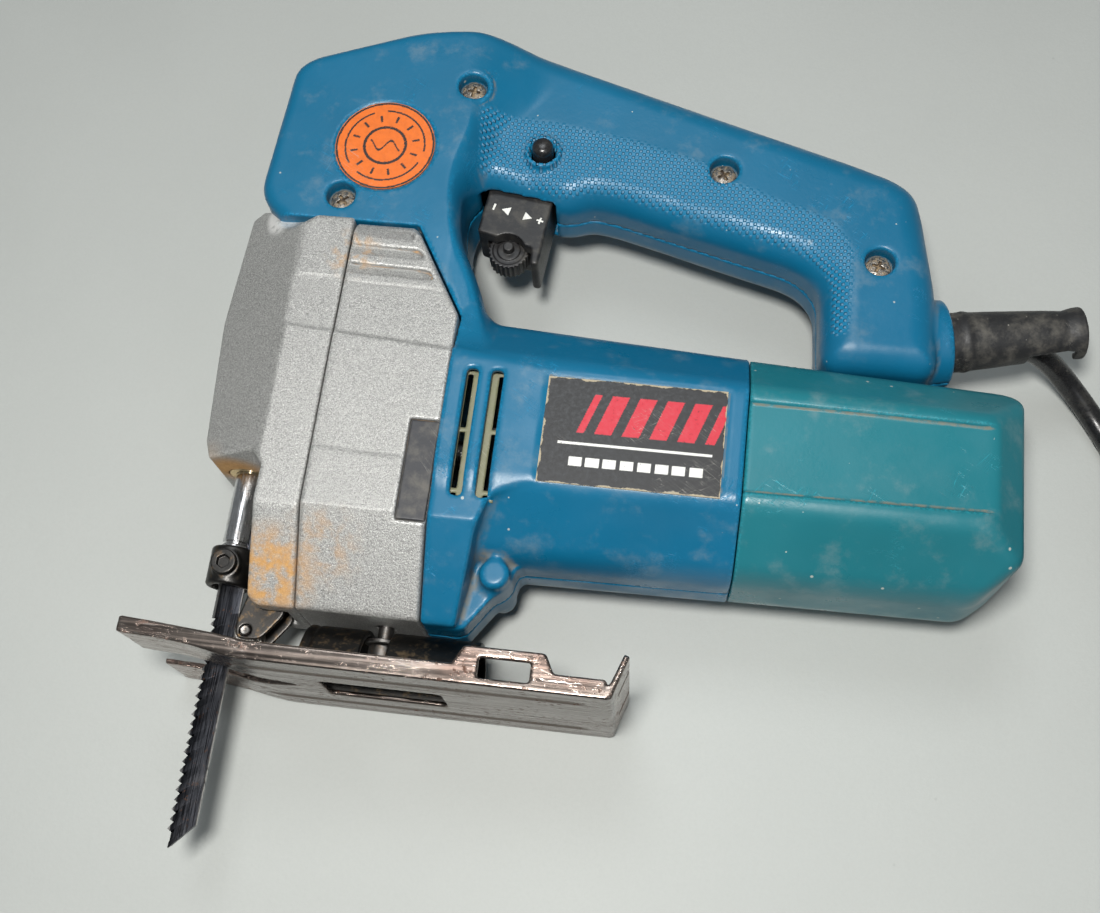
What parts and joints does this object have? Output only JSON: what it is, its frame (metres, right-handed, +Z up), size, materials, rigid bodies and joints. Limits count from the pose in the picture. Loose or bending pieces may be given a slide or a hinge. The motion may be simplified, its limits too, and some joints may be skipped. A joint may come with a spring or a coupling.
{
  "type": "jigsaw",
  "caption": "Corded jigsaw with a closed handle, cast gear case, tilting pressed shoe, reciprocating blade clamp, trigger with a speed dial and a coiled mains cord.",
  "frame": {"origin": "middle of the box of the tool without its cord, on the surface it lies on with its right side down", "axes": "+X towards the cord end, +Y towards the top of the handle and away from the blade tip, +Z up, out of the tool's left side"},
  "size_m": [0.3852, 0.2492, 0.06],
  "materials": {
    "blue_housing": "glossy moulded glass-filled plastic, scuffed, with fine white specks",
    "teal_cover": "glossy moulded plastic with fine scratches",
    "cast_alloy": "silver painted die-cast aluminium, sandy",
    "black_plastic": "black moulded plastic",
    "plug_plastic": "black moulded soft plastic",
    "boot_rubber": "black rubber, dusty",
    "cord_jacket": "smooth black cord jacket",
    "blackened_steel": "blackened steel, worn",
    "blade_steel": "dark brushed blade steel with bright tooth tips",
    "shoe_chrome": "worn bright plating with brown rust spots",
    "bright_steel": "ground bright steel",
    "steel": "turned steel",
    "lamination": "stacked steel sheet",
    "copper": "enamelled copper",
    "brass": "turned brass and sintered bronze",
    "carbon": "pressed carbon",
    "label": "black adhesive label with worn edges",
    "badge": "orange adhesive label with a black ring"
  },
  "bodies": {
    "housing": {"housing_left": "blue_housing", "housing_right": "blue_housing", "motor_cover": "teal_cover", "gear_case": "cast_alloy", "front_cover": "cast_alloy", "side_insert": "black_plastic", "switch_body": "black_plastic", "cord_clamp": "black_plastic", "plug_body": "plug_plastic", "cord_tie": "plug_plastic", "strain_relief": "boot_rubber", "cord_tube": "cord_jacket", "cord_coil": "cord_jacket", "cord_tail": "cord_jacket", "roller_bracket": "blackened_steel", "bracket_rivet": "blackened_steel", "case_screw_1": "steel", "case_screw_2": "steel", "case_screw_3": "steel", "case_screw_4": "steel", "front_bearing": "steel", "rear_bearing": "steel", "roller_pin": "steel", "clamp_washer": "steel", "shoe_clamp_screw": "steel", "field_stator": "lamination", "field_coil_upper": "copper", "field_coil_lower": "copper", "gear_bush": "brass", "lower_bush": "brass", "upper_bush": "brass", "brush_holder_left": "brass", "brush_holder_right": "brass", "plug_pin_1": "brass", "plug_pin_2": "brass", "carbon_brush_left": "carbon", "carbon_brush_right": "carbon", "name_plate": "label", "round_badge": "badge"},
    "armature": {"armature_shaft": "steel", "pinion": "steel", "armature_core": "lamination", "winding_front": "copper", "winding_rear": "copper", "commutator": "copper", "cooling_fan": "black_plastic"},
    "gear": {"drive_gear": "steel", "gear_shaft": "steel"},
    "plunger": {"plunger_rod": "bright_steel", "scotch_yoke": "steel", "blade_collar": "blackened_steel", "collar_screw": "blackened_steel", "blade": "blade_steel"},
    "roller": {"guide_roller": "steel"},
    "shoe": {"shoe": "shoe_chrome", "tilt_saddle": "blackened_steel"},
    "trigger": {"trigger": "black_plastic"},
    "dial": {"speed_dial": "black_plastic"},
    "lock": {"lock_button": "black_plastic"}
  },
  "joints": [
    {"name": "shoe_tilt", "type": "hinge", "parent": "housing", "child": "shoe", "pos_m": [-0.0483, -0.077, 0.03], "axis": [1, 0, 0], "range_deg": [-45, 45]},
    {"name": "plunger_slide", "type": "slide", "parent": "housing", "child": "plunger", "axis": [0, 1, 0], "range_m": [-0.006, 0.01]},
    {"name": "armature_spin", "type": "hinge", "parent": "housing", "child": "armature", "pos_m": [0.0057, -0.0065, 0.03], "axis": [1, 0, 0], "continuous": true},
    {"name": "gear_spin", "type": "hinge", "parent": "housing", "child": "gear", "pos_m": [-0.0773, 0.0195, 0.03], "axis": [1, 0, 0], "continuous": true},
    {"name": "roller_spin", "type": "hinge", "parent": "housing", "child": "roller", "pos_m": [-0.0901, -0.0655, 0.03], "axis": [0, 0, 1], "continuous": true},
    {"name": "trigger_press", "type": "slide", "parent": "housing", "child": "trigger", "axis": [0.2449, 0.9696, 0], "range_m": [0, 0.005], "stiffness_N_per_m": 600, "springref_m": -0.004},
    {"name": "dial_turn", "type": "hinge", "parent": "trigger", "child": "dial", "pos_m": [-0.0335, 0.06, 0.03], "axis": [0, 0, 1], "range_deg": [-130, 130]},
    {"name": "lock_press", "type": "slide", "parent": "housing", "child": "lock", "axis": [0, 0, -1], "range_m": [0, 0.002], "stiffness_N_per_m": 400, "springref_m": -0.003}
  ],
  "couplings": [
    {"joint": "gear_spin", "follows": "armature_spin", "ratio": -0.2381}
  ]
}
